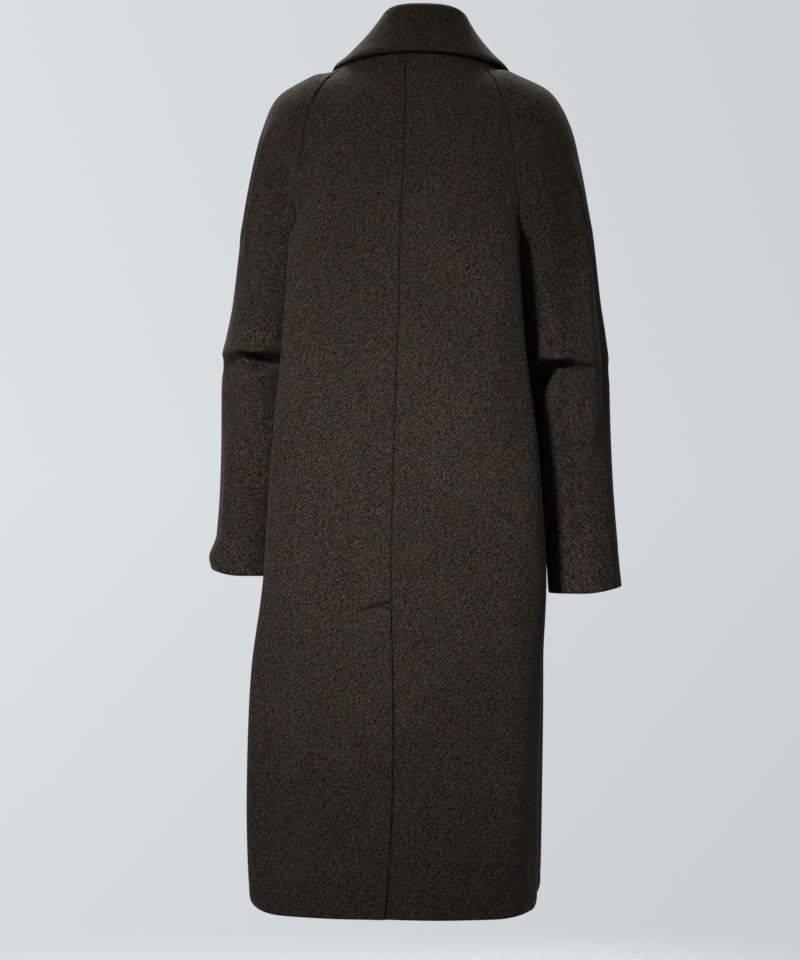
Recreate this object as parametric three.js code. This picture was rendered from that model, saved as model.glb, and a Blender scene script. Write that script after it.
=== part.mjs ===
import * as THREE from 'three';

// A long wrap coat in heavy wool, hanging as it is worn, with nothing inside it.
// Millimetres. +Z is up, +X is the wearer's left, and the front faces -Y.
// The origin is the nape: the outer end of the neck seam at the centre of the back.
// Every piece of cloth is a surface of two numbers: u runs across the cloth and v runs down it.
// Whole values of v are the rows of the tables: 0 is the neck seam and 7 is the underarm.
// Below the underarm the sleeves and the body go on with rows of their own.

// Driving sizes.
const WALL = 2.4;
const COLLAR_WALL = 4.2;
const LAPEL_WALL = 3.4;
const SEAM_GAP = 0.3;
const COLLAR_GAP = 0.95;
const WRAP_TUCK = 12;
const LEFT_CUFF_RISE = 23;
const CUFF_ROUND = 9;
const LAPEL_WIDTH = 74;
const LAPEL_END_WIDTH = 9;
const LAPEL_GAP = 0.9;
const LAPEL_LIFT = 1.6;
const UNDERLAP_WIDTH = 47;
const UNDERLAP_MARGIN = 12;
const UNDERLAP_GAP = 0.95;
const VENT_TOP_ROW = 11.3;

// Rows that carry a meaning.
const UNDERARM = 7;
const ELBOW = 9;
const CUFF = 13;
const HEM = 14;
const LAPEL_TOP_ROW = 0.55;
const LAPEL_TOP_DROP = 2.3;
const LAPEL_BREAK_ROW = 9.7;

// How much of u each part of a row takes, and how round the rows are.
const BACK_FOLD_SHARE = 0.6;
const FRONT_FOLD_SHARE = 0.35;
const ROUNDNESS = 1;
const SEAM_HOLD = 0.12;
const BODY_MIDDLE_Y = -95;

const UP = new THREE.Vector3(0, 0, 1);
const LEFT = 1;
const RIGHT = -1;

const radians = THREE.MathUtils.degToRad;
const clamp = THREE.MathUtils.clamp;
const point = (x, y, z) => new THREE.Vector3(x, y, z);

// A short table: one row for each section, with named columns and smooth values between rows.
// Columns that are turnedOver go on above the first row as their own mirror image.
function table(columns, rows, turnedOver = []) {
  const last = rows.length - 1;
  const above = rows[turnedOver.length > 0 ? 1 : 0].map((value, column) => (
    turnedOver.includes(columns[column]) ? -value : value));
  const cell = (row, column) => (row < 0 ? above : rows[Math.min(row, last)])[column];
  const blend = (v, column) => {
    const row = clamp(Math.floor(v), 0, last - 1);
    const t = clamp(v - row, 0, 1);
    const [before, start, end, after] = [-1, 0, 1, 2].map((step) => cell(row + step, column));
    const startSlope = (end - before) / 2;
    const endSlope = (after - start) / 2;
    return hermite(start, end, startSlope, endSlope, t);
  };
  return (v) => Object.fromEntries(columns.map((name, column) => [name, blend(v, column)]));
}

function hermite(start, end, startSlope, endSlope, t) {
  const t2 = t * t;
  const t3 = t2 * t;
  const fromStart = (2 * t3 - 3 * t2 + 1) * start + (t3 - 2 * t2 + t) * startSlope;
  const fromEnd = (3 * t2 - 2 * t3) * end + (t3 - t2) * endSlope;
  return fromStart + fromEnd;
}

// The sleeve's sections, from the neck seam to the cuff. ridge is the outermost line of the arm.
// tilt turns a section from level (0) to upright. over, under, back and front are its half sizes.
// seamBack and seamFront are the angles from the ridge to the two raglan seams.
const sleeveSection = table(
  [
    'ridgeX', 'ridgeZ', 'middleY', 'tilt', 'over', 'under',
    'back', 'front', 'seamBack', 'seamFront', 'slope', 'lean',
  ],
  [
    [76, -24, -62, 45, 36, 36, 46, 46, 50, 50, 0.5, -12],
    [114, -55, -62, 56, 50, 50, 68, 62, 50, 50, 0.3, -8],
    [146, -64, -62, 60, 68, 68, 80, 72, 70, 70, 0.3, -6],
    [194, -86, -62, 50, 98, 98, 88, 80, 78, 72, 0.18, -6],
    [219, -129, -64, 28, 90, 90, 92, 86, 84, 80, 0, -7],
    [235, -190, -66, 14, 84, 76, 92, 88, 90, 92, 0, -6],
    [249, -262, -72, 6, 70, 66, 80, 80, 114, 122, 0, -5],
    [255, -304, -78, 4, 66, 63, 73, 76, 180, 180, 0, -5],
    [264, -380, -82, 2, 62, 60, 68, 72, 180, 180, 0, -4],
    [276, -455, -84, 0, 60, 58, 67, 70, 180, 180, 0, -2],
    [280, -560, -88, 0, 57, 55, 62, 64, 180, 180, 0, -2],
    [284, -655, -92, 0, 54, 53, 59, 60, 180, 180, 0, -2],
    [289, -725, -96, 0, 52, 51, 57, 57, 180, 180, 0, -2],
    [294, -790, -100, 0, 52, 51, 56, 57, 180, 180, 0, -2],
  ],
);

// The back's sections, from the neck seam to the hem. seam is the centre-back line, and fold is the
// soft edge behind the arm, where the cloth turns forward. Turns are 0 for outward and 90 for forward.
const backSection = table(
  ['seamX', 'seamY', 'seamZ', 'foldX', 'foldY', 'foldZ', 'foldTurn', 'edgeTurn', 'lean'],
  [
    [-3, 0, 0, 36, -6, -4, 22, 62, -12],
    [-4, 16, -40, 62, 8, -46, 18, 50, -10],
    [-7, 34, -95, 80, 29, -92, 8, 28, -9],
    [-7, 45, -150, 92, 39, -142, 8, 17, -8],
    [-6, 50, -190, 104, 42, -182, 10, 14, -8],
    [-4, 53, -230, 126, 38, -222, 22, 24, -6],
    [-2, 54, -282, 158, 17, -277, 88, 98, -2],
    [-1, 54, -318, 160, 15, -316, 112, 70, -1],
    [0, 53, -384, 165, 12, -382, 112, 84, -1],
    [3, 52, -462, 171, 6, -460, 106, 94, 0],
    [8, 51, -600, 188, -4, -600, 102, 90, 0],
    [11, 54, -760, 199, -20, -760, 98, 90, 3],
    [7, 57, -900, 205, -32, -900, 94, 90, 15],
    [6, 61, -1080, 206, -40, -1078, 90, 90, 22],
    [13, 64, -1238, 203, -47, -1241, 90, 90, 23],
  ],
);

// The fronts' sections. fold is the soft edge in front of the arm, middle is the centre-front line,
// and wrapX is how far the front edge stops short of that line, or past it where it is below zero.
const frontSection = table(
  ['foldX', 'foldY', 'foldZ', 'foldTurn', 'edgeTurn', 'middleY', 'middleZ', 'wrapX', 'lean'],
  [
    [66, -110, -66, 105, 100, -140, -122, 60, -12],
    [88, -128, -98, 130, 125, -165, -152, 51, -10],
    [94, -160, -140, 145, 132, -192, -182, 40, -9],
    [104, -182, -176, 148, 135, -212, -214, 27, -8],
    [110, -194, -204, 148, 140, -224, -242, 16, -8],
    [124, -200, -236, 140, 130, -232, -268, 5, -6],
    [142, -186, -282, 112, 70, -238, -302, -7, -3],
    [144, -182, -318, 110, 102, -241, -332, -16, -2],
    [144, -184, -384, 114, 102, -243, -386, -34, -1],
    [151, -187, -462, 118, 96, -245, -463, -59, 0],
    [167, -190, -600, 120, 92, -247, -600, -92, 0],
    [180, -196, -760, 122, 90, -250, -760, -96, 3],
    [185, -202, -900, 124, 90, -253, -900, -98, 15],
    [187, -208, -1080, 125, 90, -258, -1078, -99, 22],
    [186, -214, -1234, 125, 90, -264, -1235, -100, 23],
  ],
);

// The side seams below the underarm; the rows above it only fill the table.
const sideSection = table(
  ['x', 'y', 'z', 'lean'],
  [
    ...Array(8).fill([126, -76, -313, -5]),
    [124, -86, -382, -1],
    [136, -91, -460, 0],
    [151, -97, -600, 0],
    [167, -104, -760, 3],
    [182, -110, -900, 15],
    [189, -116, -1080, 22],
    [187, -122, -1232, 23],
  ],
);

// The collar's stations, from the centre back round to its front end, spaced evenly along the neck
// seam. fold is its top line, edge its outer edge, and bend the outside radius of the fold.
const collarStation = table(
  ['foldX', 'foldY', 'foldZ', 'foldLean', 'edgeX', 'edgeY', 'edgeZ', 'edgeLean', 'bend'],
  [
    [0, 4, 37, -21, 0, 24, -31, -10, 8],
    [34, -4, 35, -22, 57, 18, -34, -12, 8],
    [53, -26, 27, -23, 100, -6, -41, -13, 8],
    [59, -60, 12, -19, 127, -58, -50, -13, 8],
    [61, -96, -20, -14, 129, -122, -83, -13, 7],
    [62, -127, -73, -12, 108, -160, -137, -12, 5.4],
  ],
  ['foldX', 'edgeX'],
);
const COLLAR_STATIONS = 5;

// The largest folds. On a sleeve, across is the angle from the ridge, to the back above zero, and on
// a back it is how far round from the centre-back seam. On a front it is how far from the side seam,
// with the soft edge at 100. down is the height. A fold stands out by its rise, or sinks below zero.
const foldRows = (rows) => rows.map(([side, fromAcross, fromDown, toAcross, toDown, breadth, rise]) => (
  { side, fromAcross, fromDown, toAcross, toDown, breadth, rise }));
const SLEEVE_FOLDS = foldRows([
  [LEFT, 10, -444, 105, -440, 13, 5],
  [LEFT, 4, -461, 60, -449, 8, -7],
  [LEFT, 58, -449, 112, -462, 9, -9],
  [LEFT, 30, -500, 95, -490, 14, 3],
  [LEFT, 16, -140, 20, -300, 16, 3],
  [LEFT, -45, -739, 45, -739, 18, 8],
  [LEFT, -16, -470, -100, -462, 10, -6],
  [LEFT, -20, -450, -110, -440, 14, 4],
  [RIGHT, 14, -449, 110, -452, 13, 5],
  [RIGHT, 6, -465, 62, -457, 8, -7],
  [RIGHT, 60, -457, 116, -474, 10, -9],
  [RIGHT, 24, -190, 50, -560, 15, 5],
  [RIGHT, 76, -300, 84, -430, 13, -3],
  [RIGHT, 96, -440, 86, -720, 15, -6],
  [RIGHT, -14, -476, -95, -466, 10, -6],
  [RIGHT, -20, -456, -105, -446, 14, 4],
]);
const BACK_FOLDS = foldRows([
  [LEFT, 116, -330, 132, -640, 22, -4],
  [LEFT, 62, -860, 74, -1240, 30, 4],
  [LEFT, 126, -820, 134, -1240, 28, -5],
  [LEFT, 180, -850, 184, -1240, 26, 4],
  [RIGHT, 122, -320, 140, -620, 22, -4],
  [RIGHT, 82, -900, 92, -1240, 32, -4],
  [RIGHT, 140, -830, 146, -1240, 28, 5],
]);
const FRONT_FOLDS = foldRows([
  [LEFT, 118, -340, 128, -620, 24, -4],
  [LEFT, 60, -850, 56, -1240, 22, -5],
  [LEFT, 128, -880, 136, -1240, 26, 4],
  [RIGHT, 112, -330, 122, -600, 24, -4],
  [RIGHT, 52, -880, 48, -1240, 22, 4],
  [RIGHT, 118, -860, 124, -1240, 26, -4],
]);
const DEGREE_LENGTH = 1.08;
const FRONT_EDGE_ACROSS = 100;

// How far the cloth stands out at a place, from all the folds near it.
function foldLift(folds, side, across, down) {
  return folds.filter((fold) => fold.side === side).reduce((sum, fold) => {
    const run = [fold.toAcross - fold.fromAcross, fold.toDown - fold.fromDown];
    const from = [across - fold.fromAcross, down - fold.fromDown];
    const t = clamp((from[0] * run[0] + from[1] * run[1]) / (run[0] ** 2 + run[1] ** 2), 0, 1);
    const off = Math.hypot(from[0] - t * run[0], from[1] - t * run[1]);
    const taper = 1 - 0.7 * (2 * t - 1) ** 4;
    return sum + fold.rise * taper * Math.exp(-((off / fold.breadth) ** 2));
  }, 0);
}

// A turn in the level plane, on one side of the coat.
const turned = (side, degrees) => point(side * Math.cos(radians(degrees)), -Math.sin(radians(degrees)), 0);

// A level-bending curve between two points, leaving and arriving along the given directions.
function bend(start, end, leaving, arriving, t) {
  const reach = Math.hypot(end.x - start.x, end.y - start.y) * ROUNDNESS;
  return point(
    hermite(start.x, end.x, leaving.x * reach, arriving.x * reach, t),
    hermite(start.y, end.y, leaving.y * reach, arriving.y * reach, t),
    THREE.MathUtils.lerp(start.z, end.z, t),
  );
}

// The sleeve's outer face. u runs from the back seam over the ridge to the front seam.
function sleevePoint(side, u, v) {
  const row = sleeveSection(v);
  const seamBack = Math.min(row.seamBack, 180);
  const seamFront = Math.min(row.seamFront, 180);
  const angle = radians(THREE.MathUtils.lerp(seamBack, -seamFront, u));
  const tilt = radians(row.tilt);
  const across = Math.cos(angle);
  const along = Math.sin(angle);
  const out = across * (across > 0 ? row.over : row.under) - row.over;
  const level = along * (along > 0 ? row.back : row.front);
  const rise = side === LEFT ? LEFT_CUFF_RISE * Math.max(0, (v - ELBOW) / (CUFF - ELBOW)) : 0;
  const round = CUFF_ROUND * Math.max(0, across) ** 2 * clamp(v - CUFF + 1, 0, 1) ** 2;
  const height = row.ridgeZ + out * Math.sin(tilt) + level * row.slope + rise + round;
  const lift = foldLift(SLEEVE_FOLDS, side, THREE.MathUtils.radToDeg(angle) * DEGREE_LENGTH, height);
  return point(
    row.lean + side * (row.ridgeX + out * Math.cos(tilt) + lift * across * Math.cos(tilt)),
    row.middleY + level + lift * along,
    height + lift * across * Math.sin(tilt),
  );
}

// The line where the back and front of one side meet, which starts at the underarm.
function sidePoint(side, v) {
  const row = sideSection(v);
  const seam = point(row.lean + side * row.x, row.y, row.z);
  return sleevePoint(side, 0, UNDERARM).lerp(seam, clamp(v - UNDERARM, 0, 1));
}

const seamPoint = (side, u, v) => (v < UNDERARM ? sleevePoint(side, u, v) : sidePoint(side, v));

// A place on the body moved out by a fold, and held where a seam is.
function lifted(place, lean, u, lift) {
  const held = Math.min(1, u / SEAM_HOLD, (1 - u) / SEAM_HOLD);
  const way = point(place.x - lean, place.y - BODY_MIDDLE_Y, 0).normalize();
  return place.addScaledVector(way, lift * held);
}

// The back's outer face. u runs from the centre-back seam round to the raglan or side seam.
function backPoint(side, u, v) {
  const row = backSection(v);
  const fold = point(row.lean + side * row.foldX, row.foldY, row.foldZ);
  const foldWay = turned(side, row.foldTurn);
  const middle = point(row.seamX, row.seamY, row.seamZ);
  const t = (u - BACK_FOLD_SHARE) / (1 - BACK_FOLD_SHARE);
  const place = u < BACK_FOLD_SHARE
    ? bend(middle, fold, turned(side, 0), foldWay, u / BACK_FOLD_SHARE)
    : bend(fold, seamPoint(side, 0, v), foldWay, turned(side, row.edgeTurn), t);
  const across = u / BACK_FOLD_SHARE * row.foldX;
  return lifted(place, row.lean, u, foldLift(BACK_FOLDS, side, across, place.z));
}

// The front's outer face. u runs from the raglan or side seam to the front edge, past the middle.
function frontPoint(side, u, v) {
  const row = frontSection(v);
  const fold = point(row.lean + side * row.foldX, row.foldY, row.foldZ);
  const foldWay = turned(side, row.foldTurn);
  const across = u / FRONT_FOLD_SHARE * FRONT_EDGE_ACROSS;
  if (u < FRONT_FOLD_SHARE) {
    const seam = seamPoint(side, 1, v);
    const place = bend(seam, fold, turned(side, row.edgeTurn), foldWay, u / FRONT_FOLD_SHARE);
    return lifted(place, row.lean, u, foldLift(FRONT_FOLDS, side, across, place.z));
  }
  const middle = point(row.lean, row.middleY, row.middleZ);
  const panel = (t) => {
    const place = bend(fold, middle, foldWay, turned(side, 180), t > 1 ? 2 - t : t);
    const x = t > 1 ? 2 * row.lean - place.x : place.x;
    return point(x, place.y, place.z);
  };
  const end = reachOf((t) => side * (panel(t).x - row.lean), row.wrapX);
  const t = end * (u - FRONT_FOLD_SHARE) / (1 - FRONT_FOLD_SHARE);
  const place = panel(t);
  place.y += side === RIGHT ? WRAP_TUCK * THREE.MathUtils.smoothstep(t, 0, 0.5) : 0;
  return lifted(place, row.lean, u, foldLift(FRONT_FOLDS, side, across, place.z));
}

// Where a falling value reaches a target, between 0 and 2.
function reachOf(value, target) {
  let low = 0;
  let high = 2;
  for (let step = 0; step < 30; step += 1) {
    const middle = (low + high) / 2;
    if (value(middle) > target) low = middle;
    else high = middle;
  }
  return (low + high) / 2;
}

// The way a surface faces, away from the wearer.
function facing(surface, side, u, v, lastRow) {
  const step = 0.002;
  const [left, right] = [Math.max(u - step, 0), Math.min(u + step, 1)];
  const [above, below] = [Math.max(v - step, 0), Math.min(v + step, lastRow)];
  const across = surface(side, right, v).sub(surface(side, left, v));
  const down = surface(side, u, below).sub(surface(side, u, above));
  return across.cross(down).multiplyScalar(side).normalize();
}

const away = (vector, way) => (vector.dot(way) < 0 ? vector.negate() : vector);

// The shared edge of a sleeve and a body panel: which way its thickness runs, and the way to the sleeve.
function raglanEdge(side, body, bodyEnd, sleeveEnd, v) {
  const bodyWay = facing(body, side, bodyEnd, v, HEM);
  const sleeveWay = facing(sleevePoint, side, sleeveEnd, v, CUFF);
  const opposed = (1 - bodyWay.dot(sleeveWay)) / 2;
  const thickness = bodyWay.add(sleeveWay).addScaledVector(UP, -opposed).normalize();
  const step = 0.01;
  const above = sleevePoint(side, sleeveEnd, Math.max(v - step, 0));
  const below = sleevePoint(side, sleeveEnd, Math.min(v + step, UNDERARM));
  const toSleeve = away(below.sub(above).cross(thickness).normalize(), point(side, 0, 0));
  return { thickness, toSleeve };
}

// The edge of a body panel or a sleeve along the seams of one side. end is 0 at the back and 1 in front.
function sideEdge(side, end, isSleeve, v) {
  const body = end === 0 ? backPoint : frontPoint;
  const bodyEnd = 1 - end;
  const shift = point(0, 0, 0);
  let thickness;
  if (v <= UNDERARM) {
    const edge = raglanEdge(side, body, bodyEnd, end, v);
    thickness = v < UNDERARM ? edge.thickness : UP.clone().negate();
    shift.addScaledVector(edge.toSleeve, (isSleeve ? 0.5 : -0.5) * SEAM_GAP);
  } else if (isSleeve) {
    thickness = facing(sleevePoint, side, end, v, CUFF);
  } else {
    thickness = facing(backPoint, side, 1, v, HEM).add(facing(frontPoint, side, 0, v, HEM)).normalize();
  }
  if (v >= UNDERARM) shift.y += (end === 0 ? 0.5 : -0.5) * SEAM_GAP;
  return { thickness, shift };
}

// A closed wall between two grids of points, with its edges closed too.
function wall(outer, inner) {
  const rows = outer.length;
  const columns = outer[0].length;
  const places = [...outer.flat(), ...inner.flat()];
  const index = (row, column, layer) => layer * rows * columns + row * columns + column;
  const faces = [];
  const quad = (a, b, c, d) => faces.push(a, b, c, a, c, d);
  for (let row = 0; row < rows - 1; row += 1) {
    for (let column = 0; column < columns - 1; column += 1) {
      const corners = [[row, column], [row, column + 1], [row + 1, column + 1], [row + 1, column]];
      quad(...corners.map(([r, c]) => index(r, c, 0)));
      quad(...corners.reverse().map(([r, c]) => index(r, c, 1)));
    }
  }
  const rim = (from, to) => quad(index(...from, 0), index(...from, 1), index(...to, 1), index(...to, 0));
  for (let column = 0; column < columns - 1; column += 1) {
    rim([0, column], [0, column + 1]);
    rim([rows - 1, column + 1], [rows - 1, column]);
  }
  // Two edges that meet in a seam are split the same way, so that they stay parallel.
  for (let row = 0; row < rows - 1; row += 1) {
    quad(index(row + 1, 0, 1), index(row, 0, 1), index(row, 0, 0), index(row + 1, 0, 0));
    rim([row, columns - 1], [row + 1, columns - 1]);
  }
  const volume = faces.reduce((sum, _, at) => {
    if (at % 3) return sum;
    const [a, b, c] = faces.slice(at, at + 3).map((corner) => places[corner]);
    return sum + a.dot(b.clone().cross(c));
  }, 0);
  const geometry = new THREE.BufferGeometry();
  geometry.setAttribute('position', new THREE.Float32BufferAttribute(places.flatMap((p) => p.toArray()), 3));
  geometry.setIndex(volume < 0 ? [...faces].reverse() : faces);
  geometry.computeVertexNormals();
  return geometry;
}

// A wall on one side of the coat. first and last give the seams at its two ends across, where it has them.
function panel(surface, side, lastRow, columns, rows, first, last, thick = WALL) {
  const outer = [];
  const inner = [];
  for (const v of rows) {
    const outerRow = [];
    const innerRow = [];
    columns.forEach((u, column) => {
      const place = surface(side, u, v);
      let way = facing(surface, side, u, v, lastRow);
      const seam = column === 0 ? first : column === columns.length - 1 ? last : null;
      if (seam) {
        const edge = seam(v);
        place.add(edge.shift);
        way = edge.thickness;
      }
      outerRow.push(place);
      innerRow.push(place.clone().addScaledVector(way, -thick));
    });
    outer.push(outerRow);
    inner.push(innerRow);
  }
  return wall(outer, inner);
}

// Evenly spaced numbers, both ends included.
function spread(from, to, steps) {
  return Array.from({ length: steps + 1 }, (_, i) => from + (to - from) * i / steps);
}

const RAGLAN_ROWS = [...spread(0, 6, 12), ...spread(6, UNDERARM, 3).slice(1)];
const SLEEVE_ROWS = [...RAGLAN_ROWS, ...spread(UNDERARM, 8.5, 3).slice(1), ...spread(8.5, 9.5, 6).slice(1),
  ...spread(9.5, CUFF, 7).slice(1)];
const VENT_ROWS = spread(VENT_TOP_ROW, HEM, 6);
const BODY_ROWS = [...RAGLAN_ROWS, ...spread(UNDERARM, 11, 8).slice(1), ...VENT_ROWS];
const BACK_COLUMNS = [...spread(0, BACK_FOLD_SHARE, 5), ...spread(BACK_FOLD_SHARE, 1, 4).slice(1)];
const FRONT_COLUMNS = [...spread(0, FRONT_FOLD_SHARE, 3), ...spread(FRONT_FOLD_SHARE, 1, 6).slice(1)];
const SLEEVE_COLUMNS = spread(0, 1, 16);

function backPanel(side) {
  const middle = (v) => ({
    thickness: facing(backPoint, side, 0, v, HEM),
    shift: point(side * SEAM_GAP / 2, 0, 0),
  });
  const seam = (v) => sideEdge(side, 0, false, v);
  return panel(backPoint, side, HEM, BACK_COLUMNS, BODY_ROWS, middle, seam);
}

function frontPanel(side) {
  const seam = (v) => sideEdge(side, 1, false, v);
  return panel(frontPoint, side, HEM, FRONT_COLUMNS, BODY_ROWS, seam, null);
}

function sleeve(side) {
  const back = (v) => sideEdge(side, 0, true, v);
  const front = (v) => sideEdge(side, 1, true, v);
  return panel(sleevePoint, side, CUFF, SLEEVE_COLUMNS, SLEEVE_ROWS, back, front);
}

// The cloth turned back along the front edge, made from the front's own points moved out.
function lapelPoint(side, across, v) {
  const top = LAPEL_TOP_ROW + LAPEL_TOP_DROP * across;
  const down = v / LAPEL_BREAK_ROW;
  const row = THREE.MathUtils.lerp(top, LAPEL_BREAK_ROW, down);
  const start = frontPoint(side, FRONT_FOLD_SHARE, row);
  const length = start.distanceTo(frontPoint(side, 1, row)) / (1 - FRONT_FOLD_SHARE);
  const width = THREE.MathUtils.lerp(LAPEL_WIDTH, LAPEL_END_WIDTH, down ** 1.4);
  const u = 1 - across * width / length;
  const lift = LAPEL_GAP + LAPEL_WALL + LAPEL_LIFT * Math.sin(Math.PI * clamp(across, 0, 1));
  return frontPoint(side, u, row).addScaledVector(facing(frontPoint, side, u, row, HEM), lift);
}

function lapel(side) {
  const folded = (s, u, v) => lapelPoint(s, 1 - u, v);
  const rows = spread(0, LAPEL_BREAK_ROW, 11);
  return panel(folded, side, LAPEL_BREAK_ROW, spread(0, 1, 4), rows, null, null, LAPEL_WALL);
}

// The strip sewn to the right back below the vent's top, which lies under the left back.
function underlap() {
  const offsets = [-UNDERLAP_MARGIN, 0, UNDERLAP_WIDTH / 2, UNDERLAP_WIDTH];
  const layer = (inward) => VENT_ROWS.map((v) => offsets.map((offset) => {
    const side = offset < 0 ? RIGHT : LEFT;
    const middle = backPoint(side, 0, v);
    const length = middle.distanceTo(backPoint(side, BACK_FOLD_SHARE / 4, v)) * 4;
    const u = Math.abs(offset) * BACK_FOLD_SHARE / length;
    const way = facing(backPoint, side, u, v, HEM);
    return backPoint(side, u, v).addScaledVector(way, -inward);
  }));
  return wall(layer(WALL + UNDERLAP_GAP), layer(2 * WALL + UNDERLAP_GAP));
}

// The neck seam on one side, from the centre back (0) to the front end (1).
const NECK_SHARES = { back: 0.38, sleeve: 0.79 };

function neckPoint(side, s) {
  const { back, sleeve: top } = NECK_SHARES;
  if (s < back) return backPoint(side, s / back, 0);
  if (s < top) return sleevePoint(side, (s - back) / (top - back), 0);
  return frontPoint(side, (s - top) / (1 - top), 0);
}

// The collar's sections: up from the neck seam, over the fold and down to the edge.
// Each gives the face that shows, and the way its thickness runs.
function collarProfile(s, steps) {
  const side = s < 0 ? RIGHT : LEFT;
  const row = collarStation(Math.abs(s) * COLLAR_STATIONS);
  const fold = point(row.foldLean + side * row.foldX, row.foldY, row.foldZ);
  const edge = point(row.edgeLean + side * row.edgeX, row.edgeY, row.edgeZ);
  const out = point(edge.x - fold.x, edge.y - fold.y, 0).normalize();
  const centre = fold.clone().addScaledVector(UP, -row.bend);
  const around = (degrees) => centre.clone()
    .addScaledVector(out, -row.bend * Math.cos(radians(degrees)))
    .addScaledVector(UP, row.bend * Math.sin(radians(degrees)));
  const base = neckPoint(side, Math.abs(s)).addScaledVector(UP, COLLAR_GAP).addScaledVector(out, -WALL);
  const standTop = around(0);
  const stand = spread(0, 1, steps.stand).slice(0, -1).map((t) => base.clone().lerp(standTop, t));
  const turn = spread(0, 150, steps.turn).map(around);
  const fallTop = turn[turn.length - 1];
  const fall = spread(0, 1, steps.fall).slice(1).map((t) => fallTop.clone().lerp(edge, t));
  const outer = [...stand, ...turn, ...fall];
  const inner = outer.map((place, at) => {
    const before = outer[Math.max(at - 1, 0)];
    const after = outer[Math.min(at + 1, outer.length - 1)];
    const run = after.clone().sub(before).normalize();
    const sideways = UP.clone().cross(out);
    return place.clone().addScaledVector(sideways.cross(run).normalize(), COLLAR_WALL);
  });
  return { outer, inner };
}

function collar() {
  const profiles = spread(-1, 1, 24).map((s) => collarProfile(s, { stand: 2, turn: 4, fall: 4 }));
  return wall(profiles.map((p) => p.outer), profiles.map((p) => p.inner));
}

const cloth = (tint) => new THREE.MeshStandardMaterial({ color: tint, roughness: 0.95, metalness: 0 });

const pieces = {
  back_left: [backPanel(LEFT), '#2f2a25'],
  back_right: [backPanel(RIGHT), '#2e2924'],
  back_vent_underlap: [underlap(), '#2a2622'],
  front_left: [frontPanel(LEFT), '#302b26'],
  front_right: [frontPanel(RIGHT), '#2f2a25'],
  sleeve_left: [sleeve(LEFT), '#332d28'],
  sleeve_right: [sleeve(RIGHT), '#2d2823'],
  collar: [collar(), '#292420'],
  lapel_left: [lapel(LEFT), '#2e2924'],
  lapel_right: [lapel(RIGHT), '#2e2924'],
};

const coat = new THREE.Group();
for (const [name, [geometry, tint]] of Object.entries(pieces)) {
  const mesh = new THREE.Mesh(geometry, cloth(tint));
  mesh.name = name;
  coat.add(mesh);
}

export default coat;
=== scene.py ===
import math

import bmesh
import bpy
import numpy as np
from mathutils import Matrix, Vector


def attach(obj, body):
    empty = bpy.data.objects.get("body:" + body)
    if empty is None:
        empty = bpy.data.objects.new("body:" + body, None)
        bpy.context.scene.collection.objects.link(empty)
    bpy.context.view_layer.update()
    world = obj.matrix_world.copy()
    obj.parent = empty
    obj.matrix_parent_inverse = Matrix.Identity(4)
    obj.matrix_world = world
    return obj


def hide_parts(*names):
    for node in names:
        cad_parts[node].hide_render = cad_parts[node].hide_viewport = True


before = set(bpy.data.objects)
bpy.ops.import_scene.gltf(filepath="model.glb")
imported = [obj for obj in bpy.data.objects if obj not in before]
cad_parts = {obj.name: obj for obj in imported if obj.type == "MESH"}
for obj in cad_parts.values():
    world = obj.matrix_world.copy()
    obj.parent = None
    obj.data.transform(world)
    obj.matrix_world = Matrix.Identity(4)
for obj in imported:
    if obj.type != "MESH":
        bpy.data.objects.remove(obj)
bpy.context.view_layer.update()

# A long wrap coat in heavy wool, hanging as it is worn, with nothing inside it.
# Metres in the scene. The coat's own tables are in millimetres, and MM turns them into metres.
# +Z is up, +X is the wearer's left, the front faces -Y, and the origin is the nape.
# Every piece of cloth is a surface of two numbers: u runs across the cloth and v runs down it.
MM = 0.001
WALL = 2.4
COLLAR_WALL = 4.2
LAPEL_WALL = 3.4
WRAP_TUCK = 12.0
LEFT_CUFF_RISE = 23.0
CUFF_ROUND = 9.0
LAPEL_WIDTH = 74.0
LAPEL_END_WIDTH = 9.0
LAPEL_GAP = 0.9
LAPEL_LIFT = 1.6
UNDERLAP_WIDTH = 47.0
UNDERLAP_MARGIN = 12.0
UNDERLAP_GAP = 0.95
UNDERLAP_COLUMNS = 31
UNDERLAP_ROWS = 121
VENT_TOP_ROW = 11.3
UNDERARM = 7.0
ELBOW = 9.0
CUFF = 13.0
HEM = 14.0
LAPEL_TOP_ROW = 0.55
LAPEL_TOP_DROP = 2.3
LAPEL_BREAK_ROW = 9.7
BACK_FOLD_SHARE = 0.6
FRONT_FOLD_SHARE = 0.35
FRONT_EDGE_ACROSS = 100.0
SEAM_HOLD = 0.12
BODY_MIDDLE_Y = -95.0
BODY_BREADTH_FROM = 130.0
DEGREE_LENGTH = 1.08
COLLAR_STATIONS = 5
COLLAR_GAP = 0.95
COLLAR_TUCK = 3.0
LEFT = 1
RIGHT = -1
SIDE_WORD = {LEFT: "left", RIGHT: "right"}

# The camera stands this far off, level, and a little to the wearer's left of straight behind.
CAMERA_TURN = 8.0
CAMERA_DISTANCE = 4.5
CAMERA_ASIDE = 0.007
CAMERA_HEIGHT = -0.630
PICTURE_HEIGHT = 1.344
SENSOR = 36.0
FLOOR_HEIGHT = -1.56
FLOOR_FADE = (0.8, 2.3)
FLOOR_COLOUR = (0.46, 0.48, 0.50)


def hermite(start, end, start_slope, end_slope, t):
    """A smooth value between two others, with given slopes."""
    t2 = t * t
    t3 = t2 * t
    from_start = (2 * t3 - 3 * t2 + 1) * start + (t3 - 2 * t2 + t) * start_slope
    from_end = (3 * t2 - 2 * t3) * end + (t3 - t2) * end_slope
    return from_start + from_end


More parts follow.
